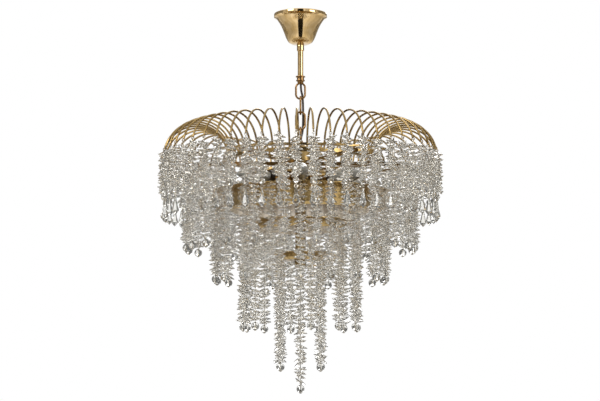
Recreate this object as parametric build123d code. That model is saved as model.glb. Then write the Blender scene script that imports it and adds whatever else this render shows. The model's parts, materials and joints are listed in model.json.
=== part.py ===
import os
from math import cos, hypot, radians, sin

from build123d import *

# Cascade chandelier: a gilt wire frame on a short chain, hung with tiers of crystal strands.
# Millimetres, Z up, the origin on the ceiling in the middle of the canopy. The front faces -Y.

# Clearances
slide_gap = 0.35  # canopy and collar round the rod
seat_gap = 0.1  # a spigot in its bore or a bar in its socket
hang_gap = 0.3  # between two wires that hang in each other
pin_gap = 0.45  # round a strand's pin in its hole
lead_gap = 0.6  # round the lead where it passes through metal

# Ceiling strap
strap_width = 22.0
strap_sheet = 2.0
strap_drop = 12.0  # the middle of the strap lies this far below the ceiling
strap_foot = 22.0  # flat length of each foot
strap_slope = 6.0  # length along the strap of each sloping step
slot_spacing = 76.0
slot_end = 10.0  # from the middle of a slot to the end of the strap
slot_length = 12.0
slot_width = 5.0
nipple_radius = 4.0
nipple_wall = 1.4
nipple_engagement = 14.0
nut_flats = 13.0
nut_height = 5.0
nut_thread_left = 1.0  # nipple that stands out above the upper nut
terminal_size = (12.0, 20.0, 12.0)
terminal_offset = 15.0
terminal_screw_radius = 1.6
terminal_screw_head = 1.0
terminal_screw_pitch = 6.5

# Canopy
canopy_radius = 55.5
canopy_depth = 62.6
canopy_rim = 6.3
canopy_sheet = 1.2
canopy_flank = ((0.905, 0.137), (0.74, 0.37), (0.627, 0.604), (0.546, 0.794), (0.449, 0.941), (0.335, 1.0))
collar_radius = 7.5
collar_height = 15.4
collar_edge = 0.8
collar_screw_radius = 1.5

# Rod with its lower loop
rod_radius = 5.75
rod_bottom = -131.4
spigot_length = 10.0
finial_ring_radius = 9.8
finial_ring_height = 2.6
finial_waist_radius = 7.4
finial_waist_height = 5.5
neck_top_radius = 7.0
neck_radius = 5.2
neck_height = 6.0
edge_break = 0.6  # small bevel on turned rings

# Chain
link_wire = 4.2
link_width = 23.0
link_length = 41.0
loop_length = 37.2
lead_radius = 2.25
lead_aside = 5.5  # the lead runs this far from the chain's middle, in X and in Y
lead_bend = 6.0
lead_drop = 2.0  # the lead turns in to the middle this far below the lower link

# Frame
arch_count = 54
arch_wire = 4.0
arch_ring_radius = 150.0
arch_ring_width = 8.0
arch_ring_height = 8.0
arch_radius = 66.0
arch_short = 13.0  # degrees by which an arch stops short of half a turn
arch_seat = 6.0  # depth of each foot in the ring
arch_turn = -1.7  # degrees from the front to the first arch
eye_radius = 2.8
eye_wire = 1.8
stem_radius = 8.0
stem_wall = 1.6
shank_length = 25.0
shoulder_radius = 11.0
shoulder_height = 3.0
cover_radius = 28.0
cover_height = 32.8  # from the shoulder under the loop to the top of the hub
cover_sheet = 1.2
hub_radius = 30.0
hub_height = 12.0
hub_drop = 6.0  # the hub's top lies this far below the arches' centres
spoke_count = 6
spoke_side = 8.0
spoke_root = 18.0  # radius at which the spokes start inside the hub
spoke_short = 3.0  # the spokes end this far inside the second tier's circle
spacer_radius = 11.0

# Strands
flake_radius = 15.5
flake_rim = 1.2
flake_middle = 5.0
flake_pitch = 8.2
core_radius = 2.2
pin_radius = 0.9
pin_head_radius = 2.2
pin_head = 1.2
neck_length = 2.0  # bare pin above the first flake and below the last
ball_radius = 8.5
ball_flat = 2.4  # radius of the flat at the top and bottom of a ball
crimp_radius = 2.0
crimp_height = 1.2
loop_radius = 2.6
loop_wire = 1.4
outer_flakes = 10
bead_radius = 6.2
drop_length = 38.0
drop_radius = 7.8
drop_lug = (5.2, 3.0, 6.0)
drop_loop_radius = 3.4
drop_hole_radius = 1.6

# Tiers below the arches: radius of the circle, strands, flakes on each, degrees from +X to the first strand
second_radius = 234.0
second_count = 24
second_flakes = 20
second_turn = 7.5
third_radius = 175.0
third_count = 18
third_flakes = 21
third_turn = 10.0
fourth_radius = 118.0
fourth_count = 12
fourth_flakes = 25
fourth_turn = 10.0
fifth_radius = 58.0
fifth_count = 4
fifth_flakes = 27
fifth_turn = 45.0
centre_flakes = 29
second_ring_inside = 8.0  # ring inside its circle of holes
second_ring_outside = 3.0
second_ring_height = 4.0
plate_sheet = 1.5
plate_margin = 6.0  # plate outside its circle of holes
pan_sheet = 1.2
pan_corner = 8.0
third_level = -70.0  # top of each plate, from the arches' centres
third_pan = (147.0, 40.0)  # radius and depth
fourth_level = -134.0
fourth_pan = (96.0, 14.0)
fifth_level = -198.0
fifth_pan = (37.0, 12.0)
stem_nut_radius = 12.0
stem_nut_wall = 1.5
stem_nut_grip = 10.0
stem_nut_height = 16.0

# Lamps
lamp_count = 6
lamp_level = -42.0
lamp_block_flats = 56.0
lamp_block_height = 24.0
cup_radius = 13.5
cup_sheet = 1.3
cup_length = 38.0
socket_length = 44.0
cap_radius = 7.0
cap_length = 22.0
bulb_radius = 17.5
bulb_length = 78.0
bulb_profile = ((0.0, 0.42), (0.05, 0.52), (0.24, 0.88), (0.40, 1.0), (0.52, 0.96), (0.70, 0.72),
                (0.88, 0.34), (0.96, 0.15))
junction_size = (40.0, 24.0, 16.0)
junction_offset = 60.0

# Lengths and levels that follow from the sizes above
strap_length = slot_spacing + 2 * slot_end
nut_seat = -strap_drop - strap_sheet
rod_top = nut_seat - nut_height
rod_bore = nipple_radius + seat_gap
finial_bottom = rod_bottom - 2 * finial_ring_height - finial_waist_height - neck_height
upper_loop_top = finial_bottom + neck_height - link_wire
upper_loop_bottom = upper_loop_top - loop_length + link_wire
link_step = link_wire + hang_gap
upper_link_top = upper_loop_bottom + link_step
upper_link_bottom = upper_link_top - link_length + link_wire
lower_link_top = upper_link_bottom + link_step
lower_link_bottom = lower_link_top - link_length + link_wire
body_loop_top = lower_link_bottom + link_step
body_loop_bottom = body_loop_top - loop_length + link_wire
neck_start = body_loop_bottom + link_wire
shoulder_bottom = neck_start - neck_height - shoulder_height
stem_top = shoulder_bottom - cover_sheet
hub_top = shoulder_bottom - cover_height
arch_level = hub_top + hub_drop  # level of the arches' centres, which is the top of their ring
spoke_top = arch_level - arch_ring_height
stem_bore = stem_radius + seat_gap
fifth_floor = arch_level + fifth_level - plate_sheet - fifth_pan[1]
nut_bottom = fifth_floor - stem_nut_height
stem_bottom = fifth_floor - stem_nut_grip
arch_middle = arch_ring_radius + arch_radius
second_tier = (second_radius, second_count, second_flakes, second_turn)
third_tier = (third_radius, third_count, third_flakes, third_turn)
fourth_tier = (fourth_radius, fourth_count, fourth_flakes, fourth_turn)
fifth_tier = (fifth_radius, fifth_count, fifth_flakes, fifth_turn)
lead_way = lead_radius + lead_gap


def turned(profile):
    edge = [Vector(radius, 0, height) for radius, height in profile]
    return revolve(make_face(Polyline(*edge, close=True)), Axis.Z)


def tube(outer, inner, bottom, top):
    return turned([(inner, bottom), (outer, bottom), (outer, top), (inner, top)])


def rod_of(radius, bottom, top):
    return Pos(0, 0, (bottom + top) / 2) * Cylinder(radius, top - bottom)


def around(piece, count, first=0.0):
    return [piece.moved(Rot(0, 0, first + 360 * i / count)) for i in range(count)]


def save(name, shape):
    export_step(Compound(shape) if isinstance(shape, list) else shape, f"parts/{name}.step")


def ring_of_holes(tier, hole, bottom, top):
    radius, count, flakes, first = tier
    return around(Pos(radius, 0, 0) * rod_of(hole, bottom, top), count, first)


# Ceiling fixing
def ceiling_strap():
    half = strap_length / 2
    foot = half - strap_foot
    middle = foot - strap_slope
    slope = hypot(strap_slope, strap_drop)
    fold = strap_sheet * strap_drop / (slope + strap_slope)
    upper = [(half, 0), (foot, 0), (middle, -strap_drop)]
    lower = [(middle + fold, nut_seat), (foot + fold, -strap_sheet), (half, -strap_sheet)]
    edge = upper + [(-x, z) for x, z in reversed(upper)]
    edge += [(-x, z) for x, z in reversed(lower)] + lower
    side = make_face(Polyline(*[Vector(x, 0, z) for x, z in edge], close=True))
    strap = extrude(side, strap_width / 2, both=True)
    slot = extrude(Pos(0, 0, -strap_sheet - 1) * SlotOverall(slot_length, slot_width), strap_sheet + 2)
    strap -= [slot.moved(Pos(x, 0, 0)) for x in (-slot_spacing / 2, slot_spacing / 2)]
    return strap - rod_of(rod_bore, nut_seat - 1, 1 - strap_drop)


def bracket_nuts():
    nut = extrude(RegularPolygon(nut_flats / 2, 6, major_radius=False), nut_height)
    nut -= rod_of(rod_bore, -1, nut_height + 1)
    return [nut.moved(Pos(0, 0, z)) for z in (-strap_drop, rod_top)]


def terminal_block():
    wide, deep, tall = terminal_size
    return Pos(terminal_offset, 0, nut_seat - tall / 2) * Box(wide, deep, tall)


def terminal_screws():
    wide, deep, tall = terminal_size
    head = Rot(0, 90, 0) * rod_of(terminal_screw_radius, 0, terminal_screw_head)
    face = terminal_offset + wide / 2
    return [head.moved(Pos(face, y, nut_seat - tall / 2))
            for y in (-terminal_screw_pitch, 0, terminal_screw_pitch)]


# Canopy, thin sheet of even thickness
def canopy_shell():
    flank = [(r * canopy_radius, -z * canopy_depth) for r, z in canopy_flank]
    inner = []
    for i, (r, z) in enumerate(flank):
        before = flank[max(i - 1, 0)]
        after = flank[min(i + 1, len(flank) - 1)]
        dr, dz = after[0] - before[0], after[1] - before[1]
        run = hypot(dr, dz)
        inner.append((r + canopy_sheet * dz / run, z - canopy_sheet * dr / run))
    inner[-1] = (flank[-1][0] - canopy_sheet / 2, canopy_sheet - canopy_depth)
    hole = rod_radius + slide_gap
    rim_in = canopy_radius - canopy_sheet
    outside = [Vector(r, 0, z) for r, z in flank]
    inside = [Vector(r, 0, z) for r, z in reversed(inner)]
    edges = [Polyline(outside[-1], Vector(hole, 0, -canopy_depth),
                      Vector(hole, 0, canopy_sheet - canopy_depth), inside[0]),
             Spline(*inside),
             Polyline(inside[-1], Vector(rim_in, 0, canopy_sheet - canopy_rim), Vector(rim_in, 0, 0),
                      Vector(canopy_radius, 0, 0), Vector(canopy_radius, 0, -canopy_rim), outside[0]),
             Spline(*outside)]
    return revolve(make_face(edges), Axis.Z)


def canopy_collar():
    bore = rod_radius + slide_gap
    top = -canopy_depth
    low = top - collar_height
    ring = turned([(bore, top), (collar_radius, top), (collar_radius, low + collar_edge),
                   (collar_radius - collar_edge, low), (bore, low)])
    return ring - collar_screw_bar(seat_gap, bore - 1, collar_radius + 1)


def collar_screw_bar(extra, start, end):
    bar = Rot(-90, 0, 0) * rod_of(collar_screw_radius + extra, start, end)
    return bar.moved(Pos(0, 0, -canopy_depth - collar_height / 2))


# Rod, finials and chain
def lead_path():
    wide, deep, tall = terminal_size
    start = nut_seat - tall
    turn = start - 10
    centre_in = turn - 1.6 * terminal_offset
    aside_in = upper_loop_bottom + link_wire + 1.6
    aside_out = lower_link_bottom - link_wire / 2 - lead_drop
    end = stem_top - shank_length / 2
    return [(terminal_offset, 0, start), (terminal_offset, 0, turn), (0, 0, centre_in),
            (0, 0, aside_in + 13), (lead_aside, lead_aside, aside_in),
            (lead_aside, lead_aside, aside_out), (0, 0, aside_out - 14), (0, 0, end)]


def supply_lead():
    points = [Vector(*p) for p in lead_path()]
    path = FilletPolyline(*points, radius=lead_bend)
    section = Plane(points[0], x_dir=(1, 0, 0), z_dir=(0, 0, -1)) * Circle(lead_radius)
    return sweep(section, path)


def rod():
    points = [Vector(*p) for p in lead_path()[1:3]]
    way = Plane(points[0], z_dir=points[1] - points[0]) * Circle(lead_way)
    return tube(rod_radius, rod_bore, rod_bottom, rod_top) - extrude(way, (points[1] - points[0]).length)


def oval(length):
    bend = (link_width - link_wire) / 2
    straight = length - link_width
    half = Torus(bend, link_wire / 2, major_angle=180, align=None)
    side = Cylinder(link_wire / 2, straight)
    ring = Rot(90, 0, 0) * half
    shape = ring.moved(Pos(0, 0, straight / 2))
    shape += ring.moved(Rot(180, 0, 0)).moved(Pos(0, 0, -straight / 2))
    shape += side.moved(Pos(bend, 0, 0))
    shape += side.moved(Pos(-bend, 0, 0))
    return shape


def chain_link(top, length, turn):
    middle = top + link_wire / 2 - length / 2
    return oval(length).moved(Rot(0, 0, turn)).moved(Pos(0, 0, middle))


def ring_step(radius, top, height):
    return [(radius - edge_break, top), (radius, top - edge_break), (radius, top - height + edge_break),
            (radius - edge_break, top - height)]


def rod_finial():
    waist_top = rod_bottom - finial_ring_height
    low_ring = waist_top - finial_waist_height
    neck_top = low_ring - finial_ring_height
    spigot = rod_bore - seat_gap
    profile = [(0, rod_bottom + spigot_length), (spigot, rod_bottom + spigot_length), (spigot, rod_bottom)]
    profile += ring_step(finial_ring_radius, rod_bottom, finial_ring_height)
    profile += [(finial_waist_radius, waist_top), (finial_waist_radius, low_ring)]
    profile += ring_step(finial_ring_radius - edge_break, low_ring, finial_ring_height)
    profile += [(neck_top_radius, neck_top), (neck_radius, finial_bottom), (0, finial_bottom)]
    shape = turned(profile) + chain_link(upper_loop_top, loop_length, 0)
    return shape - rod_of(lead_way, finial_bottom - 1, rod_bottom + spigot_length + 1)


def body_loop():
    shoulder_top = neck_start - neck_height
    shank = stem_radius - stem_wall - seat_gap
    profile = [(0, neck_start), (neck_radius, neck_start), (neck_top_radius, shoulder_top)]
    profile += ring_step(shoulder_radius, shoulder_top, shoulder_height)
    profile += [(shank, shoulder_bottom), (shank, shoulder_bottom - shank_length),
                (0, shoulder_bottom - shank_length)]
    shape = turned(profile) + chain_link(body_loop_top, loop_length, 90)
    return shape - rod_of(lead_way, shoulder_bottom - shank_length - 1, neck_start + 1)


# Frame
def hub_cover():
    top_radius = shoulder_radius + 1
    hole = stem_radius - stem_wall
    bulge = ((0.45, 0.18), (0.8, 0.52), (1.0, 1.0))
    spread = cover_radius - top_radius
    outside = [(top_radius, 0)] + [(top_radius + spread * r, cover_height * z) for r, z in bulge]
    inside = [(r - cover_sheet, max(z, cover_sheet)) for r, z in outside]
    profile = [(hole, 0)] + outside + inside[::-1] + [(hole, cover_sheet)]
    return turned([(r, shoulder_bottom - z) for r, z in profile])


def spoke(extra):
    radius = second_radius - spoke_short
    side = spoke_side + 2 * extra
    start = spoke_root - extra
    bar = Box(radius - start, side, side)
    return bar.moved(Pos((radius + start) / 2, 0, spoke_top - spoke_side / 2))


def hub():
    disc = tube(hub_radius, stem_bore, hub_top - hub_height, hub_top)
    return disc - around(spoke(seat_gap), spoke_count)


def arch_ring():
    half = arch_ring_width / 2
    ring = tube(arch_ring_radius + half, arch_ring_radius - half, spoke_top, arch_level)
    hole = rod_of(arch_wire / 2 + seat_gap, arch_level - arch_seat, arch_level + 1)
    return ring - around(hole.moved(Pos(arch_ring_radius, 0, 0)), arch_count, arch_turn - 90)


def eye_centre():
    angle = radians(arch_short)
    out = arch_middle + arch_radius * cos(angle) + eye_radius * sin(angle)
    return out, arch_level + arch_radius * sin(angle) - eye_radius * cos(angle)


def arch():
    ring = Torus(arch_radius, arch_wire / 2, major_angle=180 - arch_short, align=None)
    bow = Rot(90, 0, 0) * Rot(0, 0, arch_short) * ring
    out, level = eye_centre()
    foot = rod_of(arch_wire / 2, arch_level - arch_seat, arch_level).moved(Pos(arch_ring_radius, 0, 0))
    eye = Rot(90, 0, 0) * Torus(eye_radius, eye_wire / 2)
    return bow.moved(Pos(arch_middle, 0, arch_level)) + foot + eye.moved(Pos(out, 0, level))


def second_ring():
    top = spoke_top + second_ring_height
    ring = tube(second_radius + second_ring_outside, second_radius - second_ring_inside, spoke_top, top)
    return ring - ring_of_holes(second_tier, pin_radius + pin_gap, spoke_top - 1, top + 1)


def tier_plate(tier, level):
    top = arch_level + level
    disc = tube(tier[0] + plate_margin, stem_bore, top - plate_sheet, top)
    return disc - ring_of_holes(tier, pin_radius + pin_gap, top - plate_sheet - 1, top + 1)


def tier_pan(pan, level):
    radius, depth = pan
    rim = arch_level + level - plate_sheet
    floor = rim - depth
    bevel = pan_corner * 0.6
    inner = radius - pan_sheet
    return turned([(stem_bore, floor), (radius - bevel, floor), (radius, floor + bevel), (radius, rim),
                   (inner, rim), (inner, floor + bevel + pan_sheet / 2),
                   (inner - bevel + pan_sheet / 2, floor + pan_sheet),
                   (stem_bore, floor + pan_sheet)])


def stem_spacers():
    block = lamp_block_height / 2
    spans = [(hub_top - hub_height, arch_level + lamp_level + block),
             (arch_level + lamp_level - block, arch_level + third_level)]
    levels = [third_level, fourth_level, fifth_level]
    pans = [third_pan, fourth_pan, fifth_pan]
    for i, (level, pan) in enumerate(zip(levels, pans)):
        under = arch_level + level - plate_sheet
        spans.append((under, under - pan[1] + pan_sheet))
        if i < 2:
            spans.append((under - pan[1], arch_level + levels[i + 1]))
    return [tube(spacer_radius, stem_bore, bottom, top) for top, bottom in spans]


def stem_nut():
    cavity = stem_radius - stem_wall
    body = turned([(stem_bore, fifth_floor), (stem_nut_radius, fifth_floor),
                   (stem_nut_radius, nut_bottom + 2 * stem_nut_wall),
                   (stem_nut_radius - 2 * stem_nut_wall, nut_bottom), (0, nut_bottom),
                   (0, nut_bottom + stem_nut_wall), (cavity, nut_bottom + stem_nut_wall),
                   (cavity, stem_bottom), (stem_bore, stem_bottom)])
    return body - rod_of(pin_radius + pin_gap, nut_bottom - 1, nut_bottom + stem_nut_wall + 1)


# Lamps lie level and point outwards, between the hub and the third tier's plate
def lamp_block():
    low = arch_level + lamp_level - lamp_block_height / 2
    block = extrude(Pos(0, 0, low) * RegularPolygon(lamp_block_flats / 2, lamp_count, major_radius=False),
                    lamp_block_height)
    return block - rod_of(stem_bore, low - 1, low + lamp_block_height + 1)


def outward(shape):
    return shape.moved(Rot(0, 90, 0)).moved(Pos(0, 0, arch_level + lamp_level))


def lamp_angle():
    return 180 / spoke_count


def lamp_cup():
    start = lamp_block_flats / 2
    inner = cup_radius - cup_sheet
    return outward(turned([(0, start), (cup_radius - cup_sheet, start), (cup_radius, start + cup_sheet),
                           (cup_radius, start + cup_length), (inner, start + cup_length),
                           (inner, start + cup_sheet), (0, start + cup_sheet)]))


def cap_start():
    return lamp_block_flats / 2 + cup_sheet + socket_length - cap_length


def lamp_socket():
    start = lamp_block_flats / 2 + cup_sheet
    outer = cup_radius - cup_sheet - seat_gap
    bore = cap_radius + slide_gap
    end = start + socket_length
    return outward(turned([(0, start), (outer, start), (outer, end), (bore, end), (bore, cap_start()),
                           (0, cap_start())]))


def bulb_cap():
    return outward(rod_of(cap_radius, cap_start() + slide_gap, cap_start() + slide_gap + cap_length))


def bulb_glass():
    start = cap_start() + slide_gap + cap_length
    edge = [(bulb_radius * r, start + bulb_length * along) for along, r in bulb_profile]
    return outward(turned([(0, start)] + edge + [(0, start + bulb_length)]))


def junction_box():
    wide, deep, tall = junction_size
    floor = arch_level + third_level - plate_sheet - third_pan[1] + pan_sheet
    return Pos(junction_offset, 0, floor + tall / 2) * Box(wide, deep, tall)


# Strands: flakes of glass threaded close together on a wire, with a length of bare pin at the top
def flake_edge(top, flakes):
    edge = []
    for i in range(flakes):
        middle = top - flake_middle / 2 - i * flake_pitch
        edge += [(core_radius, middle + flake_middle / 2), (flake_radius, middle + flake_rim / 2),
                 (flake_radius, middle - flake_rim / 2), (core_radius, middle - flake_middle / 2)]
    return edge


def flakes_bottom(top, flakes):
    return top - flake_middle - (flakes - 1) * flake_pitch


def ball_middle(top, flakes):
    return flakes_bottom(top, flakes) - neck_length - ball_half()


def ball_half():
    return (ball_radius ** 2 - ball_flat ** 2) ** 0.5


def hung_strand(head_level, bare, flakes):
    top = head_level - bare - neck_length
    last = ball_middle(top, flakes) - ball_half()
    head_top = head_level + pin_head
    profile = [(0, head_top), (pin_head_radius, head_top), (pin_head_radius, head_level),
               (pin_radius, head_level), (pin_radius, top)]
    profile += flake_edge(top, flakes)
    profile += [(pin_radius, flakes_bottom(top, flakes)), (pin_radius, last), (crimp_radius, last),
                (crimp_radius, last - crimp_height), (0, last - crimp_height)]
    return turned(profile)


def hung_ball(head_level, bare, flakes):
    middle = ball_middle(head_level - bare - neck_length, flakes)
    ball = Sphere(ball_radius) & Box(2 * ball_radius, 2 * ball_radius, 2 * ball_half())
    ball -= rod_of(pin_radius + pin_gap, -ball_radius, ball_radius)
    return ball.moved(Pos(0, 0, middle))


def outer_top():
    out, level = eye_centre()
    loop_top = level - eye_radius + eye_wire / 2 + loop_wire / 2 + hang_gap
    return out, loop_top


def outer_levels():
    out, loop_top = outer_top()
    first = loop_top - 2 * loop_radius - loop_wire / 2 - neck_length
    last = flakes_bottom(first, outer_flakes)
    bead = last - neck_length - bead_radius
    drop_loop = bead - bead_radius - neck_length / 2 - drop_loop_radius
    return first, last, bead, drop_loop


def outer_strand():
    out, loop_top = outer_top()
    first, last, bead, drop_loop = outer_levels()
    top = loop_top - 2 * loop_radius
    stop = bead - (bead_radius ** 2 - ball_flat ** 2) ** 0.5
    end = drop_loop + drop_loop_radius
    shape = turned([(0, top), (pin_radius, top), (pin_radius, first)] + flake_edge(first, outer_flakes)
                   + [(pin_radius, last), (pin_radius, stop), (crimp_radius, stop),
                      (crimp_radius, stop - crimp_height / 2), (pin_radius, stop - crimp_height / 2),
                      (pin_radius, end), (0, end)])
    ring = Rot(0, 90, 0) * Torus(loop_radius, loop_wire / 2)
    shape += ring.moved(Pos(0, 0, loop_top - loop_radius))
    ring = Rot(0, 90, 0) * Torus(drop_loop_radius, loop_wire / 2)
    shape += ring.moved(Pos(0, 0, drop_loop))
    return shape.moved(Pos(out, 0, 0))


def outer_bead():
    out, loop_top = outer_top()
    first, last, bead, drop_loop = outer_levels()
    half = (bead_radius ** 2 - ball_flat ** 2) ** 0.5
    shape = Sphere(bead_radius) & Box(2 * bead_radius, 2 * bead_radius, 2 * half)
    shape -= rod_of(pin_radius + pin_gap, -bead_radius, bead_radius)
    return shape.moved(Pos(out, 0, bead))


def outer_drop():
    out, loop_top = outer_top()
    first, last, bead, drop_loop = outer_levels()
    wide, thick, tall = drop_lug
    wire_low = drop_loop - drop_loop_radius
    hole_level = wire_low - hang_gap
    top = hole_level + tall / 2
    shoulder = top - tall
    body = drop_length - tall
    edge = ((0.0, 0.2), (0.3, 0.55), (0.72, 1.0), (0.86, 0.62), (0.97, 0.16))
    shape = turned([(0, shoulder + 1)] + [(thick / 2, shoulder + 1)]
                   + [(drop_radius * r, shoulder - body * z) for z, r in edge] + [(0, shoulder - body)])
    shape += Pos(0, 0, hole_level) * Box(wide, thick, tall)
    shape -= (Rot(90, 0, 0) * rod_of(drop_hole_radius, -wide, wide)).moved(Pos(0, 0, hole_level))
    return shape.moved(Pos(out, 0, 0))


os.makedirs("parts", exist_ok=True)

# Held to the ceiling
save("ceiling_strap", ceiling_strap())
save("rod_nipple", tube(nipple_radius, nipple_radius - nipple_wall, rod_top - nipple_engagement,
                        nut_height + nut_thread_left - strap_drop))
save("bracket_nuts", bracket_nuts())
save("terminal_block", terminal_block())
save("terminal_screws", terminal_screws())
save("rod", rod())
save("rod_finial", rod_finial())
save("supply_lead", supply_lead())

# Slides on the rod
save("canopy", canopy_shell())
save("canopy_collar", canopy_collar())
save("collar_screw", collar_screw_bar(0, rod_radius + slide_gap, collar_radius - edge_break / 2))

# Chain
save("upper_link", chain_link(upper_link_top, link_length, 90))
save("lower_link", chain_link(lower_link_top, link_length, 0))

# Frame of the light
save("body_loop", body_loop())
save("hub_cover", hub_cover())
save("stem", tube(stem_radius, stem_radius - stem_wall, stem_bottom, stem_top))
save("stem_spacers", stem_spacers())
save("stem_nut", stem_nut())
save("hub", hub())
save("spokes", around(spoke(0), spoke_count))
save("arch_ring", arch_ring())
save("arches", around(arch(), arch_count, arch_turn - 90))
save("second_ring", second_ring())
save("third_plate", tier_plate(third_tier, third_level))
save("third_pan", tier_pan(third_pan, third_level))
save("fourth_plate", tier_plate(fourth_tier, fourth_level))
save("fourth_pan", tier_pan(fourth_pan, fourth_level))
save("fifth_plate", tier_plate(fifth_tier, fifth_level))
save("fifth_pan", tier_pan(fifth_pan, fifth_level))

# Lamps
save("lamp_block", lamp_block())
save("lamp_cups", around(lamp_cup(), lamp_count, lamp_angle()))
save("lamp_sockets", around(lamp_socket(), lamp_count, lamp_angle()))
save("junction_box", junction_box())
for i, cap in enumerate(around(bulb_cap(), lamp_count, lamp_angle())):
    save(f"bulb_cap_{i + 1}", cap)
for i, glass in enumerate(around(bulb_glass(), lamp_count, lamp_angle())):
    save(f"bulb_glass_{i + 1}", glass)

# Strands
save("outer_strands", around(outer_strand(), arch_count, arch_turn - 90))
save("outer_beads", around(outer_bead(), arch_count, arch_turn - 90))
save("outer_drops", around(outer_drop(), arch_count, arch_turn - 90))
tiers = [("second", second_tier, spoke_top + second_ring_height, second_ring_height + spoke_side),
         ("third", third_tier, arch_level + third_level, plate_sheet),
         ("fourth", fourth_tier, arch_level + fourth_level, plate_sheet),
         ("fifth", fifth_tier, arch_level + fifth_level, plate_sheet)]
for name, (radius, count, flakes, first), level, bare in tiers:
    strand = hung_strand(level, bare, flakes).moved(Pos(radius, 0, 0))
    ball = hung_ball(level, bare, flakes).moved(Pos(radius, 0, 0))
    save(f"{name}_strands", around(strand, count, first))
    save(f"{name}_balls", around(ball, count, first))
save("centre_strand", hung_strand(nut_bottom + stem_nut_wall, stem_nut_wall, centre_flakes))
save("centre_ball", hung_ball(nut_bottom + stem_nut_wall, stem_nut_wall, centre_flakes))
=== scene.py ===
import json
import math

import bmesh
import bpy
import numpy as np
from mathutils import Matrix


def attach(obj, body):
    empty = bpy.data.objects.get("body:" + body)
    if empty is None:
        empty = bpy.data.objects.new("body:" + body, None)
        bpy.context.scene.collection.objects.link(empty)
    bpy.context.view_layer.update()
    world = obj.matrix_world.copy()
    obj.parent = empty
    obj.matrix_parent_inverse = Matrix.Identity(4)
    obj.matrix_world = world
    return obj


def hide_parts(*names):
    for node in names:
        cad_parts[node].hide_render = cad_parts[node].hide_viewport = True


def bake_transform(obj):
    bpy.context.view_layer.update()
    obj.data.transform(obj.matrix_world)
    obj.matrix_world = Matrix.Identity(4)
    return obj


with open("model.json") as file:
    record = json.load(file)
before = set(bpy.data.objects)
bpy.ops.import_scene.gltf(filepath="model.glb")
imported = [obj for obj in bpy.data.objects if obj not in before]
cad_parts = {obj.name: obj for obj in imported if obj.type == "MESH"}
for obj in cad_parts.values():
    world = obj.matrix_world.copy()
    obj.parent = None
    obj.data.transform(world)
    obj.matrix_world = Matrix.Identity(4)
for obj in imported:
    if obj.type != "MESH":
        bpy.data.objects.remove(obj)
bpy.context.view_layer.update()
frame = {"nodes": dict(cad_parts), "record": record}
nodes = frame["nodes"]
mm = 0.001
weldGap = 1e-7
print("frame loaded:", len(nodes), "nodes")


# Helpers for meshes and nodes, with all shapes in mm

def toLinear(hexText):  # sRGB hex to linear RGBA
    parts = np.array([int(hexText[i:i + 2], 16) for i in (1, 3, 5)]) / 255
    linear = np.where(parts <= 0.04045, parts / 12.92, ((parts + 0.055) / 1.055) ** 2.4)
    return (*linear.tolist(), 1.0)


def addNode(tree, kind, settings=None, links=None):  # one node with its settings, and links into its inputs
    node = tree.nodes.new(kind)
    for name, value in (settings or {}).items():
        if isinstance(name, int) or name in node.inputs:
            node.inputs[name].default_value = value
        else:
            setattr(node, name, value)
    for name, source in (links or {}).items():
        tree.links.new(source, node.inputs[name])
    return node


def gridFaces(rows, cols, loopRows=False):  # quads of a grid that closes round its columns
    row = np.arange(rows if loopRows else rows - 1)[:, None]
    col = np.arange(cols)[None, :]
    down, right = (row + 1) % rows, (col + 1) % cols
    corners = (row * cols + col, row * cols + right, down * cols + right, down * cols + col)
    return np.stack(np.broadcast_arrays(*corners), -1).reshape(-1, 4)


def pointOut(points, faces):  # turns the faces over if the closed surface holds a negative volume
    fan = points[faces]
    volume = np.einsum("ij,ij->", fan[:, 0], np.cross(fan[:, 1], fan[:, 2]))
    if faces.shape[1] == 4:
        volume += np.einsum("ij,ij->", fan[:, 0], np.cross(fan[:, 2], fan[:, 3]))
    return faces if volume > 0 else faces[:, ::-1]


def repeat(points, faces, turns, places):  # copies one shape: every point is turned, then moved to its place
    made = np.einsum("nij,vj->nvi", turns, points) + places[:, None, :]
    step = np.arange(len(places))[:, None, None] * len(points)
    return made.reshape(-1, 3), (faces[None] + step).reshape(-1, faces.shape[1])


def joined(*shapes):  # several point and face arrays as one
    counts = np.cumsum([0] + [len(p) for p, f in shapes[:-1]])
    faces = [f + n for (p, f), n in zip(shapes, counts)]
    return np.concatenate([p for p, f in shapes]), np.concatenate(faces)


def makePiece(name, shape, material, body, stands, crease=40, flat=False, weld=False):
    points, faces = shape
    mesh = bpy.data.meshes.new(name)
    mesh.from_pydata((points * mm).tolist(), [], faces.tolist())
    if weld:  # poles close to one point
        work = bmesh.new()
        work.from_mesh(mesh)
        bmesh.ops.remove_doubles(work, verts=work.verts, dist=weldGap)
        bmesh.ops.dissolve_degenerate(work, edges=work.edges, dist=weldGap)
        work.to_mesh(mesh)
        work.free()
    mesh.validate()
    if not flat:  # smooth, apart from edges that turn by more than the crease
        mesh.shade_smooth()
        mesh.set_sharp_from_angle(angle=math.radians(crease))
    mesh.materials.append(material)
    piece = bpy.data.objects.new(name, mesh)
    bpy.context.collection.objects.link(piece)
    if body:  # the stretches of the lead that bend have none
        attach(piece, body)
    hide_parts(*stands)
    return piece


def turnedShape(profile, cols):  # P(u, v) = (r(u) cos v, r(u) sin v, z(u)), the profile is a closed loop
    profile = np.asarray(profile, float)
    v = np.arange(cols) * 2 * np.pi / cols
    r, z = profile[:, :1], profile[:, 1:]
    points = np.stack(np.broadcast_arrays(r * np.cos(v), r * np.sin(v), z), -1).reshape(-1, 3)
    faces = gridFaces(len(profile), cols, loopRows=True)
    return points, pointOut(points, faces)


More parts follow.
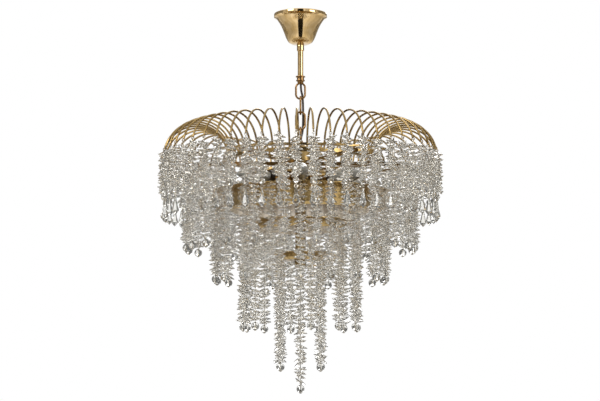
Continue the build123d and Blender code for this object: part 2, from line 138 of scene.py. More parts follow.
# P(u, v) = c(u) + a(u) (n cos v + b sin v), with n as near to the given side as it can be while square to the path
def tubeShape(path, radius, cols, side, closed=False):
    path = np.asarray(path, float)
    radius = np.broadcast_to(np.asarray(radius, float), len(path))
    if closed:
        along = np.roll(path, -1, 0) - np.roll(path, 1, 0)
    else:
        along = np.gradient(path, axis=0)
    along /= np.linalg.norm(along, axis=1, keepdims=True)
    n = np.asarray(side, float) - along * (along @ np.asarray(side, float))[:, None]
    n /= np.linalg.norm(n, axis=1, keepdims=True)
    b = np.cross(along, n)
    if not closed:  # the ends close to a point
        path, n, b = (np.concatenate([a[:1], a, a[-1:]]) for a in (path, n, b))
        radius = np.concatenate([[0], radius, [0]])
    v = np.arange(cols) * 2 * np.pi / cols
    ring = n[:, None, :] * np.cos(v)[None, :, None] + b[:, None, :] * np.sin(v)[None, :, None]
    points = (path[:, None, :] + radius[:, None, None] * ring).reshape(-1, 3)
    faces = gridFaces(len(path), cols, loopRows=closed)
    return points, pointOut(points, faces)


def smoothLine(points, steps):  # cubic through the points, slopes from the neighbours
    p = np.asarray(points, float)
    slope = np.gradient(p, axis=0)
    t = (np.arange(steps) / steps)[None, :, None]
    a, b, sa, sb = p[:-1, None], p[1:, None], slope[:-1, None], slope[1:, None]
    curve = (2 * t ** 3 - 3 * t ** 2 + 1) * a + (t ** 3 - 2 * t ** 2 + t) * sa
    curve = curve + (3 * t ** 2 - 2 * t ** 3) * b + (t ** 3 - t ** 2) * sb
    return np.concatenate([curve.reshape(-1, p.shape[1]), p[-1:]])


# Each corner of a closed profile becomes a short curve, which takes no more than its share of either side
def softCorners(profile, size, steps=4, share=0.45):
    p = np.asarray(profile, float)
    before, after = np.roll(p, 1, 0) - p, np.roll(p, -1, 0) - p
    lengthB, lengthA = (np.linalg.norm(d, axis=1, keepdims=True) for d in (before, after))
    start = p + before / lengthB * np.minimum(size, share * lengthB)
    end = p + after / lengthA * np.minimum(size, share * lengthA)
    t = (np.arange(steps) / (steps - 1))[None, :, None]
    curve = (1 - t) ** 2 * start[:, None] + 2 * t * (1 - t) * p[:, None] + t ** 2 * end[:, None]
    return curve.reshape(-1, 2)


def spins(angles):  # turns about Z
    c, s, o = np.cos(angles), np.sin(angles), np.zeros_like(angles)
    return np.stack([c, -s, o, s, c, o, o, o, o + 1], -1).reshape(-1, 3, 3)


def tilts(leanX, leanY):  # turns about X, then about Y
    cx, sx, cy, sy = np.cos(leanX), np.sin(leanX), np.cos(leanY), np.sin(leanY)
    o = np.zeros_like(leanX)
    aboutX = np.stack([o + 1, o, o, o, cx, -sx, o, sx, cx], -1).reshape(-1, 3, 3)
    aboutY = np.stack([cy, o, sy, o, o + 1, o, -sy, o, cy], -1).reshape(-1, 3, 3)
    return aboutY @ aboutX


# Camera at the photograph's place

view = {"place": (-0.001, -3.105, -0.7625), "tiltUp": 6.8, "focalPixels": 1515, "imageWidth": 600, "sensor": 36}
cameraData = bpy.data.cameras.new("camera")
cameraData.sensor_width = view["sensor"]
cameraData.lens = view["focalPixels"] * view["sensor"] / view["imageWidth"]
camera = bpy.data.objects.new("camera", cameraData)
camera.location = view["place"]
camera.rotation_euler = (math.radians(90 + view["tiltUp"]), 0, 0)
bpy.context.collection.objects.link(camera)
bpy.context.scene.camera = camera


# Finishes. Two tones meet in soft patches, and the roughness varies with a finer grain, both sized in mm.
# A bump has its strength and its depth in mm, and the sockets are the shader's own
noiseSpan = (0.3, 0.7)
toneSpan = (0.35, 0.65)
finishes = {
    # canopy and rod, plated and wheel polished: a warm mirror with faint wiping clouds
    "goldPlatedBrassPolished": {
        "light": "#DFC293", "deep": "#CBAB74", "patch": 14, "grain": 1.6, "detail": (3.0, 2.0),
        "rough": (0.04, 0.10), "sockets": {"Metallic": 1.0}},
    # wires and rings, drawn and lacquered: a deeper and softer gold
    "giltBrassLacquered": {
        "light": "#A68D5E", "deep": "#957C4F", "patch": 22, "grain": 1.2, "detail": (3.0, 2.0),
        "rough": (0.16, 0.28), "sockets": {"Metallic": 1.0}},
    # finial, loops and links, lacquered as well: darker and a shade redder
    "giltBrassReddened": {
        "light": "#A68359", "deep": "#8E6E47", "patch": 12, "grain": 1.2, "detail": (3.0, 2.0),
        "rough": (0.12, 0.24), "sockets": {"Metallic": 1.0}},
    # plates and pans, spun: paler, with faint rings from the tool, drawn 3 mm apart so that they show
    "giltBrassSpun": {
        "light": "#B69C6B", "deep": "#A58B5A", "patch": 26, "grain": 1.2, "detail": (3.0, 2.0),
        "rough": (0.18, 0.30), "ring": 3.0, "bump": (0.3, 0.05), "sockets": {"Metallic": 1.0}},
    # flakes, pressed and fire polished: clear with a trace of warm grey, and wavy faces that scatter the light
    "pressedCrystalFirePolished": {
        "light": "#FEFDFA", "deep": "#FAF7F0", "patch": 22, "grain": 2.6, "detail": (1.0, 1.0),
        "rough": (0.0, 0.16), "bump": (0.25, 0.5), "sockets": {"Transmission Weight": 1.0, "IOR": 1.52}},
    # balls, beads and drops, cut and polished: clearer, with true flat facets
    "cutCrystalPolished": {
        "light": "#FAFAF8", "deep": "#F3F2EE", "patch": 30, "grain": 9.0, "detail": (1.0, 1.0),
        "rough": (0.0, 0.02), "bump": (0.25, 0.01), "sockets": {"Transmission Weight": 1.0, "IOR": 1.52}},
    # bulbs, blown and etched inside: a clear skin over a soft white
    "etchedBulbGlass": {
        "light": "#F6F3EA", "deep": "#EDE7D8", "patch": 16, "detail": (2.0,), "span": (0.0, 1.0),
        "sockets": {"Transmission Weight": 0.55, "IOR": 1.5, "Roughness": 0.22}},
    # strap, nipple, nuts and screws, zinc plated: a cool grey sheen, a little cloudy
    "zincPlatedSteel": {
        "light": "#B9BDC0", "deep": "#9A9FA4", "patch": 9, "grain": 0.9, "detail": (2.0, 1.0),
        "rough": (0.25, 0.42), "bump": (0.2, 0.05), "sockets": {"Metallic": 1.0}},
    # bulb caps and the strands' pins, nickel plated: a bright, slightly warm silver
    "nickelPlatedBrass": {
        "light": "#D8D2C6", "deep": "#BDB6A8", "patch": 8, "grain": 0.8, "detail": (2.0, 1.0),
        "rough": (0.14, 0.26), "bump": (0.2, 0.05), "sockets": {"Metallic": 1.0}},
    # terminal block and junction box, moulded: an off-white with a dull sheen
    "whiteMouldedNylon": {
        "light": "#E6E4DE", "deep": "#D9D6CE", "patch": 12, "grain": 1.0, "detail": (2.0, 1.0),
        "rough": (0.42, 0.58), "bump": (0.2, 0.05), "sockets": {"Metallic": 0.0}},
    # lamp sockets, moulded: nearly black, with soft broad highlights
    "darkMouldedThermoset": {
        "light": "#2B2118", "deep": "#1F1812", "patch": 10, "grain": 1.0, "detail": (2.0, 1.0),
        "rough": (0.35, 0.5), "bump": (0.2, 0.05), "sockets": {"Metallic": 0.0}},
    # supply lead, extruded: a smooth dark brown sheath with a long highlight
    "brownLeadSheath": {
        "light": "#3E2F21", "deep": "#33261A", "patch": 10, "grain": 1.2, "detail": (2.0, 1.0),
        "rough": (0.32, 0.45), "bump": (0.2, 0.05), "sockets": {"Metallic": 0.0}},
}


def newMaterial(name):
    material = bpy.data.materials.new(name)
    material.use_nodes = True
    material.node_tree.nodes.clear()
    return material, material.node_tree


def makeFinish(name):
    look = finishes[name]
    material, tree = newMaterial(name)
    place = addNode(tree, "ShaderNodeTexCoord").outputs["Object"]
    patch = addNode(tree, "ShaderNodeTexNoise", {"Scale": 1000 / look["patch"], "Detail": look["detail"][0]},
                    {"Vector": place})
    tone = addNode(tree, "ShaderNodeValToRGB", links={"Fac": patch.outputs["Fac"]})
    stops = zip(tone.color_ramp.elements, look.get("span", toneSpan), (look["deep"], look["light"]))
    for stop, position, colour in stops:
        stop.position, stop.color = position, toLinear(colour)
    links = {"Base Color": tone.outputs["Color"]}
    if "grain" in look:
        grain = addNode(tree, "ShaderNodeTexNoise", {"Scale": 1000 / look["grain"], "Detail": look["detail"][1]},
                        {"Vector": place})
        height = grain.outputs["Fac"]
        span = {"From Min": noiseSpan[0], "From Max": noiseSpan[1], "To Min": look["rough"][0],
                "To Max": look["rough"][1]}
        links["Roughness"] = addNode(tree, "ShaderNodeMapRange", span, {"Value": height}).outputs["Result"]
    if "ring" in look:  # a wave has 20 radians in a unit, so its scale is pi / 10 over the spacing
        rings = addNode(tree, "ShaderNodeTexWave", {"wave_type": "RINGS", "rings_direction": "Z",
                        "Scale": math.pi / 10 / (look["ring"] * mm)}, {"Vector": place})
        height = rings.outputs["Fac"]
    if "bump" in look:
        strength, depth = look["bump"]
        bump = addNode(tree, "ShaderNodeBump", {"Strength": strength, "Distance": depth * mm}, {"Height": height})
        links["Normal"] = bump.outputs["Normal"]
    shader = addNode(tree, "ShaderNodeBsdfPrincipled", look["sockets"], links)
    addNode(tree, "ShaderNodeOutputMaterial", links={"Surface": shader.outputs["BSDF"]})
    return material


gold = makeFinish("goldPlatedBrassPolished")
lacquered = makeFinish("giltBrassLacquered")
reddened = makeFinish("giltBrassReddened")
spun = makeFinish("giltBrassSpun")
pressed = makeFinish("pressedCrystalFirePolished")
cut = makeFinish("cutCrystalPolished")
nickel = makeFinish("nickelPlatedBrass")
sheath = makeFinish("brownLeadSheath")
slotLooks = {"gilt_metal": lacquered, "crystal_glass": pressed, "nickel_plated_brass": nickel, "lead_sheath": sheath,
             "bulb_glass": makeFinish("etchedBulbGlass"), "zinc_plated_steel": makeFinish("zincPlatedSteel"),
             "white_plastic": makeFinish("whiteMouldedNylon"), "dark_plastic": makeFinish("darkMouldedThermoset")}
spunNodes = ("third_plate", "third_pan", "fourth_plate", "fourth_pan", "fifth_plate", "fifth_pan")
for part in frame["record"]["subparts"]:
    mesh = nodes[part["node"]].data
    mesh.materials.clear()
    mesh.materials.append(spun if part["node"] in spunNodes else slotLooks[part["material_slot"]])
print("materials made")


# Canopy: a flank in shares of radius and depth, below a rim whose edges are given by inset and height
canopy = {"radius": 55.5, "depth": 62.6, "rim": 6.3, "sheet": 1.2, "hole": 6.1, "cols": 128, "steps": 10,
          "flank": ((0.905, 0.137), (0.74, 0.37), (0.627, 0.604), (0.546, 0.794), (0.449, 0.941), (0.335, 1.0)),
          "rimLow": ((0.5, 0.0), (0.12, 0.3), (0.0, 0.9)), "rimHigh": ((0.0, 0.6), (0.25, 0.0)),
          "clearHigh": 0.4, "clearLow": 0.05}
collar = {"radius": 7.5, "height": 15.4, "bevel": 0.8, "soft": 0.25, "cols": 64}
flank = smoothLine(np.array(canopy["flank"]) * (canopy["radius"], -canopy["depth"]), canopy["steps"])
slope = np.gradient(flank, axis=0)
slope /= np.linalg.norm(slope, axis=1, keepdims=True)
inside = flank + canopy["sheet"] * np.stack([slope[:, 1], -slope[:, 0]], 1)
rimIn, low = canopy["radius"] - canopy["sheet"], -canopy["depth"]
rimLoop = [(canopy["radius"] - inset, height - canopy["rim"]) for inset, height in canopy["rimLow"]]
rimLoop += [(canopy["radius"] - inset, -fall) for inset, fall in canopy["rimHigh"]]
rimLoop += [(rimIn, 0.0), (rimIn, canopy["sheet"] - canopy["rim"])]
inside = inside[inside[:, 1] < canopy["sheet"] - canopy["rim"] - canopy["clearHigh"]]
inside = inside[inside[:, 1] > low + canopy["sheet"] + canopy["clearLow"]]
bottomLoop = [(canopy["hole"], low + canopy["sheet"]), (canopy["hole"], low)]
canopyLoop = np.concatenate([rimLoop, inside, bottomLoop, flank[::-1]])
makePiece("canopyShell", turnedShape(canopyLoop, canopy["cols"]), gold, "canopy", ["canopy"])
collarLow = low - collar["height"]
collarLoop = [(canopy["hole"], low), (collar["radius"], low), (collar["radius"], collarLow + collar["bevel"]),
              (collar["radius"] - collar["bevel"], collarLow), (canopy["hole"], collarLow)]
makePiece("collarSleeve", turnedShape(softCorners(collarLoop, collar["soft"]), collar["cols"]), gold, "canopy",
          ["canopy_collar"])


# Rod, finial, chain and the loop of the light, from the top down
rod = {"radius": 5.75, "bore": 4.1, "top": -19.0, "bottom": -131.4, "soft": 0.2, "cols": 64}
finial = {"ring": 9.8, "ringHigh": 2.6, "ringStep": 0.6, "waist": 7.4, "waistHigh": 5.5, "neckTop": 7.0, "neck": 5.2,
          "neckHigh": 6.0, "leadWay": 2.85, "spigot": 4.0, "spigotHigh": 10.0, "soft": 0.6, "cols": 64}
chain = {"wire": 4.2, "width": 23.0, "length": 41.0, "loop": 37.2, "play": 0.3, "cols": 18, "bendRows": 24,
         "straightRows": 6}
shank = {"flange": 11.0, "flangeHigh": 3.0, "radius": 6.3, "length": 28.0}
cover = {"flank": ((12.0, 0.0), (19.2, 0.18), (24.8, 0.52), (28.0, 1.0)), "foot": -310.0, "sheet": 1.2, "hole": 6.4,
         "steps": 8, "cols": 96}


def ovalPath(top, length):  # half circle, straight side, half circle, straight side, in the XZ plane
    bend = (chain["width"] - chain["wire"]) / 2
    half = (length - chain["width"]) / 2
    a = np.linspace(0, np.pi, chain["bendRows"])
    s = np.linspace(-1, 1, chain["straightRows"] + 2)[1:-1]
    upper = np.stack([bend * np.cos(a), half + bend * np.sin(a)], 1)
    left = np.stack([np.full_like(s, -bend), -s * half], 1)
    path = np.concatenate([upper, left, -upper, -left])
    middle = top + chain["wire"] / 2 - length / 2
    return np.stack([path[:, 0], np.zeros(len(path)), path[:, 1] + middle], 1)


def ovalShape(top, length, turn):  # round wire along the oval, turned about Z
    path = ovalPath(top, length)
    points, faces = tubeShape(path, chain["wire"] / 2, chain["cols"], (0, 1, 0), closed=True)
    return points @ spins(np.array([turn]))[0].T, faces


rodLoop = [(rod["bore"], rod["top"]), (rod["radius"], rod["top"]), (rod["radius"], rod["bottom"]),
           (rod["bore"], rod["bottom"])]
makePiece("rodTube", turnedShape(softCorners(rodLoop, rod["soft"]), rod["cols"]), gold, "ceiling_fixing",
          ["rod"])
ringTop = rod["bottom"]
waistTop = ringTop - finial["ringHigh"]
lowRingTop = waistTop - finial["waistHigh"]
neckTop = lowRingTop - finial["ringHigh"]
neckEnd = neckTop - finial["neckHigh"]
spigotTop = ringTop + finial["spigotHigh"]
lowRing = finial["ring"] - finial["ringStep"]
finialLoop = [(finial["leadWay"], spigotTop), (finial["spigot"], spigotTop), (finial["spigot"], ringTop),
              (finial["ring"], ringTop), (finial["ring"], waistTop), (finial["waist"], waistTop),
              (finial["waist"], lowRingTop), (lowRing, lowRingTop), (lowRing, neckTop), (finial["neckTop"], neckTop),
              (finial["neck"], neckEnd), (finial["leadWay"], neckEnd)]
makePiece("rodFinial", turnedShape(softCorners(finialLoop, finial["soft"]), finial["cols"]), reddened,
          "ceiling_fixing", ["rod_finial"])
linkStep = chain["wire"] + chain["play"]
upperLoopTop = neckEnd + finial["neckHigh"] - chain["wire"]
upperTop = upperLoopTop - chain["loop"] + chain["wire"] + linkStep
lowerTop = upperTop - chain["length"] + chain["wire"] + linkStep
bodyTop = lowerTop - chain["length"] + chain["wire"] + linkStep
makePiece("upperLoop", ovalShape(upperLoopTop, chain["loop"], 0), reddened, "ceiling_fixing",
          ["rod_finial"])
makePiece("upperLink", ovalShape(upperTop, chain["length"], np.pi / 2), reddened, "upper_link",
          ["upper_link"])
makePiece("lowerLink", ovalShape(lowerTop, chain["length"], 0), reddened, "lower_link", ["lower_link"])
neckStart = bodyTop - chain["loop"] + 2 * chain["wire"]
flangeTop = neckStart - finial["neckHigh"]
coverTop, shankEnd = flangeTop - shank["flangeHigh"], flangeTop - shank["length"]
shankLoop = [(finial["leadWay"], neckStart), (finial["neck"], neckStart), (finial["neckTop"], flangeTop),
             (shank["flange"], flangeTop), (shank["flange"], coverTop), (shank["radius"], coverTop),
             (shank["radius"], shankEnd), (finial["leadWay"], shankEnd)]
shankShape = turnedShape(softCorners(shankLoop, finial["soft"]), finial["cols"])
makePiece("bodyLoop", joined(shankShape, ovalShape(bodyTop, chain["loop"], np.pi / 2)), reddened, "light",
          ["body_loop"])
coverFlank = np.array(cover["flank"]) * (1, coverTop - cover["foot"])
coverOut = smoothLine(coverFlank, cover["steps"]) * (1, -1) + (0, coverTop)
coverUnder = coverTop - cover["sheet"]
coverIn = np.stack([coverOut[:, 0] - cover["sheet"], np.minimum(coverOut[:, 1], coverUnder)], 1)
coverLoop = np.concatenate([[(cover["hole"], coverTop)], coverOut, coverIn[::-1], [(cover["hole"], coverUnder)]])
makePiece("hubCover", turnedShape(coverLoop, cover["cols"]), lacquered, "light", ["hub_cover"])
print("canopy, rod and chain made")


# Supply lead: a smooth line down the rod and beside the links, cut where it may bend
lead = {"radius": 2.25, "cols": 14, "smooth": 24, "spacing": 2.0,
        "route": ((15, 0, -26), (15, 0, -36), (0, 0, -60), (0, 0, -160.5), (5.5, 5.5, -173.5), (5.5, 5.5, -248.0),
                  (0, 0, -262.0), (0, 0, -290.9)),
        "cuts": (-152.0, -193.2, -225.5, -266.0),
        "pieces": ("leadInRod", "leadByUpperLink", "leadByLowerLink", "leadByBodyLoop", "leadInShank"),
        "carriers": ("ceiling_fixing", "upper_link", "lower_link", "light")}
route = np.array(lead["route"], float)
routeData = bpy.data.curves.new("leadRoute", "CURVE")
routeData.dimensions = "3D"
routeData.resolution_u = lead["smooth"]
spline = routeData.splines.new("NURBS")
spline.points.add(len(route) - 1)
spline.points.foreach_set("co", np.concatenate([route, np.ones((len(route), 1))], 1).ravel())
spline.order_u = 3
spline.use_endpoint_u = True
routeObject = bpy.data.objects.new("leadRoute", routeData)
routeMesh = bpy.data.meshes.new_from_object(routeObject)
leadLine = np.empty(len(routeMesh.vertices) * 3)
routeMesh.vertices.foreach_get("co", leadLine)
leadLine = leadLine.reshape(-1, 3)
bpy.data.objects.remove(routeObject)
bpy.data.curves.remove(routeData)
bpy.data.meshes.remove(routeMesh)


def leadStretch(start, end):  # the part of the line between two levels, with evenly spaced points
    levels = np.append(np.arange(start, end, -lead["spacing"]), end)
    run = leadLine[::-1]
    return np.stack([np.interp(levels, run[:, 2], run[:, k]) for k in (0, 1)] + [levels], 1)


bodiesOn = lead["carriers"]
cuts = [lead["route"][0][2], *lead["cuts"], lead["route"][-1][2]]
for i, name in enumerate(lead["pieces"]):
    stretch = leadStretch(cuts[i], cuts[i + 1])
    shape = tubeShape(stretch, lead["radius"], lead["cols"], (1, 0, 0))
    body = {0: bodiesOn[0], 4: bodiesOn[-1]}.get(i)
    piece = makePiece(name, shape, sheath, body, ["supply_lead"], weld=True)
    if not body:
        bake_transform(piece)
print("lead made")


# Arches: a bent wire from the ring, with a small eye at its outer end
arch = {"count": 54, "wire": 4.0, "ring": 150.0, "bend": 66.0, "short": 13.0, "seat": 6.0, "level": -304.0,
        "turn": -1.7, "eye": 2.8, "eyeWire": 1.8, "rows": 44, "cols": 10, "eyeRows": 12, "eyeCols": 6, "crease": 60}


# Torus in the XZ plane: P(u, v) = (R + a cos v) (cos u, 0, sin u) + a sin v y
def ringShape(radius, wire, rows, cols):
    u = np.arange(rows) * 2 * np.pi / rows
    path = np.stack([radius * np.cos(u), 0 * u, radius * np.sin(u)], 1)
    return tubeShape(path, wire / 2, cols, (0, 1, 0), closed=True)


archAngles = np.radians(arch["turn"] - 90 + 360 * np.arange(arch["count"]) / arch["count"])
ending = math.radians(arch["short"])
bow = np.linspace(np.pi, ending, arch["rows"])
bowMiddle = arch["ring"] + arch["bend"]
archPath = np.stack([bowMiddle + arch["bend"] * np.cos(bow), np.zeros(arch["rows"]),
                     arch["level"] + arch["bend"] * np.sin(bow)], 1)
archPath = np.concatenate([[(arch["ring"], 0, arch["level"] - arch["seat"])], archPath])
wireShape = tubeShape(archPath, arch["wire"] / 2, arch["cols"], (0, 1, 0))
eyeOut = bowMiddle + arch["bend"] * math.cos(ending) + arch["eye"] * math.sin(ending)
eyeLevel = arch["level"] + arch["bend"] * math.sin(ending) - arch["eye"] * math.cos(ending)
eye = ringShape(arch["eye"], arch["eyeWire"], arch["eyeRows"], arch["eyeCols"])
oneArch = joined(wireShape, (eye[0] + (eyeOut, 0, eyeLevel), eye[1]))
archPiece = repeat(*oneArch, spins(archAngles), np.zeros((arch["count"], 3)))
makePiece("archWires", archPiece, lacquered, "light", ["arches"], crease=arch["crease"], weld=True)
print("arches made")


# Crystal strands. A flake's rows are hub, shoulder and blunt tip: share of the edge's radius, height over the middle
flake = {"lobes": 5, "kinds": 5, "tip": 15.4, "tipVaries": 0.18, "notch": 6.5, "hole": 1.0, "bend": 4.2,
         "rows": ((0.0, 3.9), (0.45, 3.0), (1.0, 0.8)), "pitch": 8.2, "slack": 3.0, "tall": 5.0, "neck": 2.0,
         "lean": 15.0, "leanMost": 27.0, "weights": (1, 2, 3, 2, 1), "leanNorm": 4.36, "drift": 3.5, "jitter": 1.8,
         "sizes": (0.90, 1.0), "seed": 11}
ballSizes = {"radius": 8.5, "flat": 2.4, "cols": 12, "bead": 6.2}
pin = {"radius": 0.7, "sides": 6, "head": 2.2, "headHigh": 1.2, "crimp": 2.0, "crimpHigh": 1.2, "loop": 2.6,
       "loopWire": 1.4, "loopRows": 12, "loopCols": 6, "dropLoop": 3.4, "hang": 0.3}
# The lug's rows are level, half width and half depth; the body's are shares of its length and radius
drop = {"length": 38.0, "radius": 7.8, "point": 0.2, "cols": 6,
        "lug": ((6.0, 1.4, 1.0), (5.2, 2.5, 1.5), (1.6, 2.5, 1.5)), "body": ((0.30, 0.52), (0.72, 1.0), (1.0, 0.02))}
lugHigh = drop["lug"][0][0]
luck = np.random.default_rng(flake["seed"])


# Rows from the hub to the tip, then back below as their mirror: the radius swings between tip and notch, and each
# tip bends up or down with the square of its share
def flakeShape():
    cols = 2 * flake["lobes"]
    v = np.arange(cols) * 2 * np.pi / cols
    tips = flake["tip"] * (1 - flake["tipVaries"] * luck.random(cols))
    lobe = np.arange(cols) % 2 == 0
    edge = np.where(lobe, tips, flake["notch"])
    bend = np.where(lobe, flake["bend"] * luck.uniform(-1, 1, cols), 0)
    rows = np.array(flake["rows"])
    rows = np.concatenate([rows, rows[::-1] * (1, -1)])
    radius = np.maximum(rows[:, :1] * edge, flake["hole"])
    height = rows[:, 1:] + rows[:, :1] ** 2 * bend
    points = np.stack(np.broadcast_arrays(radius * np.cos(v), radius * np.sin(v), height), -1).reshape(-1, 3)
    return points, pointOut(points, gridFaces(len(rows), cols, loopRows=True))


def ballShape(radius):  # rows of corners on a sphere, each row turned half a step, joined by triangles
    cols = ballSizes["cols"]
    flat = math.acos(min(1.0, ballSizes["flat"] / radius))
    rows = np.array([flat, 0.5 * flat, 0, -0.5 * flat, -flat])
    v = (np.arange(cols)[None, :] + 0.5 * (np.arange(len(rows)) % 2)[:, None]) * 2 * np.pi / cols
    out, level = radius * np.cos(rows)[:, None], radius * np.sin(rows)[:, None]
    points = np.stack(np.broadcast_arrays(out * np.cos(v), out * np.sin(v), level), -1).reshape(-1, 3)
    poles = len(points)
    points = np.concatenate([points, [(0, 0, radius * math.sin(flat)), (0, 0, -radius * math.sin(flat))]])
    col = np.arange(cols)
    right = (col + 1) % cols
    faces = []
    for k in range(len(rows) - 1):  # band by band
        a, b = k * cols, (k + 1) * cols
        if k % 2 == 0:
            faces += [np.stack([a + col, b + col, a + right], 1), np.stack([b + col, b + right, a + right], 1)]
        else:
            faces += [np.stack([a + col, b + col, b + right], 1), np.stack([a + col, b + right, a + right], 1)]
    last = (len(rows) - 1) * cols
    faces += [np.stack([np.full(cols, poles), col, right], 1),
              np.stack([np.full(cols, poles + 1), last + right, last + col], 1)]
    faces = np.concatenate(faces)
    return points, pointOut(points, faces)


def dropShape():  # facets from a flat lug to a point: an ellipse whose half axes follow the rows
    cols = drop["cols"]
    v = (np.arange(cols) + 0.5) * 2 * np.pi / cols
    long = drop["length"] - lugHigh
    body = [(-long * fall, max(drop["radius"] * share, drop["point"])) for fall, share in drop["body"]]
    rows = np.array([*drop["lug"], *((level, half, half) for level, half in body)])
    wide, deep, level = rows[:, 1:2], rows[:, 2:3], rows[:, :1]
    points = np.stack(np.broadcast_arrays(wide * np.cos(v), deep * np.sin(v), level), -1).reshape(-1, 3)
    ends = np.array([(0, 0, rows[0, 0]), (0, 0, rows[-1, 0])])
    col = np.arange(cols)
    right, last = (col + 1) % cols, (len(rows) - 1) * cols
    quads = gridFaces(len(rows), cols)
    faces = np.concatenate([quads[:, [0, 1, 2]], quads[:, [0, 2, 3]],
                            np.stack([np.full(cols, len(points)), right, col], 1),
                            np.stack([np.full(cols, len(points) + 1), last + col, last + right], 1)])
    points = np.concatenate([points, ends])
    return points, pointOut(points, faces)


def postShape(rows):  # a turned pin with few sides: (radius, level) pairs from one end to the other
    return turnedShape([(0, rows[0][1])] + list(rows) + [(0, rows[-1][1])], pin["sides"])


flakeShapes = [flakeShape() for kind in range(flake["kinds"])]


# Strands on a circle: each flake is spun, and leans nearly as its neighbours do. The lean is a weighted sum over five
# neighbours, over the root of the weights' squares
def hangFlakes(angles, radius, top, length, pitch):
    strands = len(angles)
    count = round(length / pitch) + 1
    along = np.arange(count) / (count - 1)
    above, below = luck.uniform(0, flake["slack"], (2, strands, 1))  # bare wire at the two ends
    drift = luck.uniform(-flake["drift"], flake["drift"], (strands, 1)) * np.sin(np.pi * along)
    levels = top - flake["tall"] / 2 - above - (length - above - below) * along
    levels = levels + drift + luck.uniform(-flake["jitter"], flake["jitter"], (strands, count))
    weights = flake["weights"]
    lean = luck.normal(size=(2, strands, count + len(weights) - 1))
    lean = sum(w * lean[..., k:k + count] for k, w in enumerate(weights)) / flake["leanNorm"]
    lean = np.radians(np.clip(lean * flake["lean"], -flake["leanMost"], flake["leanMost"]))
    turn = luck.uniform(0, 2 * np.pi, (strands, count))
    size = luck.uniform(*flake["sizes"], (strands, count))
    turns = tilts(lean[0].ravel(), lean[1].ravel()) @ spins(turn.ravel()) * size.ravel()[:, None, None]
    room = (1 - size) * flake["tip"] / 2  # a smaller flake may sit off its wire
    x = radius * np.cos(angles)[:, None] + luck.uniform(-1, 1, (strands, count)) * room
    y = radius * np.sin(angles)[:, None] + luck.uniform(-1, 1, (strands, count)) * room
    places = np.stack(np.broadcast_arrays(x, y, levels), -1).reshape(-1, 3)
    kind = luck.integers(0, flake["kinds"], strands * count)
    made = [repeat(*shape, turns[kind == k], places[kind == k]) for k, shape in enumerate(flakeShapes)]
    return joined(*made)


def ringPlaces(angles, radius, level):  # one place at each angle of a level circle
    return np.stack([radius * np.cos(angles), radius * np.sin(angles), np.full(len(angles), level)], 1)


# The inner tiers. The length of a strand is that of its solid, and its flakes are set out by the tier's own pitch
tiers = {
    "second": {"radius": 234.0, "strands": 24, "first": 7.5, "flakes": 20, "pitch": 8.0, "head": -308.0, "bare": 12.0,
               "nodes": ("second_strands", "second_balls")},
    "third": {"radius": 175.0, "strands": 18, "first": 10.0, "flakes": 21, "pitch": 8.0, "head": -374.0, "bare": 1.5,
              "nodes": ("third_strands", "third_balls")},
    "fourth": {"radius": 118.0, "strands": 12, "first": 10.0, "flakes": 25, "pitch": 8.2, "head": -438.0, "bare": 1.5,
               "nodes": ("fourth_strands", "fourth_balls")},
    "fifth": {"radius": 58.0, "strands": 4, "first": 45.0, "flakes": 27, "pitch": 9.0, "head": -502.0, "bare": 1.5,
              "nodes": ("fifth_strands", "fifth_balls")},
    "centre": {"radius": 0.0, "strands": 1, "first": 0.0, "flakes": 29, "pitch": 9.3, "head": -530.0, "bare": 1.5,
               "nodes": ("centre_strand", "centre_ball")},
}
ballHalf = math.sqrt(ballSizes["radius"] ** 2 - ballSizes["flat"] ** 2)
for name, tier in tiers.items():
    strandNode, ballNode = tier["nodes"]
    angles = np.radians(tier["first"] + 360 * np.arange(tier["strands"]) / tier["strands"])
    top = tier["head"] - tier["bare"] - flake["neck"]
    length = (tier["flakes"] - 1) * flake["pitch"]
    bottom = top - flake["tall"] - length
    hung = hangFlakes(angles, tier["radius"], top, length, tier["pitch"])
    makePiece(f"{name}Flakes", hung, pressed, "light", [strandNode], flat=True)
    ballLevel = bottom - flake["neck"] - ballHalf
    ballTurns = spins(luck.uniform(0, 2 * np.pi, tier["strands"]))
    balls = repeat(*ballShape(ballSizes["radius"]), ballTurns, ringPlaces(angles, tier["radius"], ballLevel))
    makePiece(f"{name}Balls", balls, cut, "light", [ballNode], flat=True)
    end = ballLevel - ballHalf
    post = postShape([(pin["head"], tier["head"] + pin["headHigh"]), (pin["head"], tier["head"]),
                      (pin["radius"], tier["head"]), (pin["radius"], end), (pin["crimp"], end),
                      (pin["crimp"], end - pin["crimpHigh"])])
    pins = repeat(*post, spins(angles), ringPlaces(angles, tier["radius"], 0.0))
    makePiece(f"{name}Pins", pins, nickel, "light", [strandNode], weld=True)


# The outer tier: a loop in each arch's eye, flakes, a bead, a wider loop and a drop
outer = {"flakes": 10, "pitch": 8.6}
loopTop = eyeLevel - arch["eye"] + arch["eyeWire"] / 2 + pin["loopWire"] / 2 + pin["hang"]
firstTop = loopTop - 2 * pin["loop"] - pin["loopWire"] / 2 - flake["neck"]
length = (outer["flakes"] - 1) * flake["pitch"]
lastBottom = firstTop - flake["tall"] - length
beadLevel = lastBottom - flake["neck"] - ballSizes["bead"]
dropLoop = beadLevel - ballSizes["bead"] - flake["neck"] / 2 - pin["dropLoop"]
hung = hangFlakes(archAngles, eyeOut, firstTop, length, outer["pitch"])
makePiece("outerFlakes", hung, pressed, "light", ["outer_strands"], flat=True)
beadTurns = spins(luck.uniform(0, 2 * np.pi, arch["count"]))
beads = repeat(*ballShape(ballSizes["bead"]), beadTurns, ringPlaces(archAngles, eyeOut, beadLevel))
makePiece("outerBeads", beads, cut, "light", ["outer_beads"], flat=True)
dropTop = dropLoop - pin["dropLoop"] - pin["hang"] + lugHigh / 2
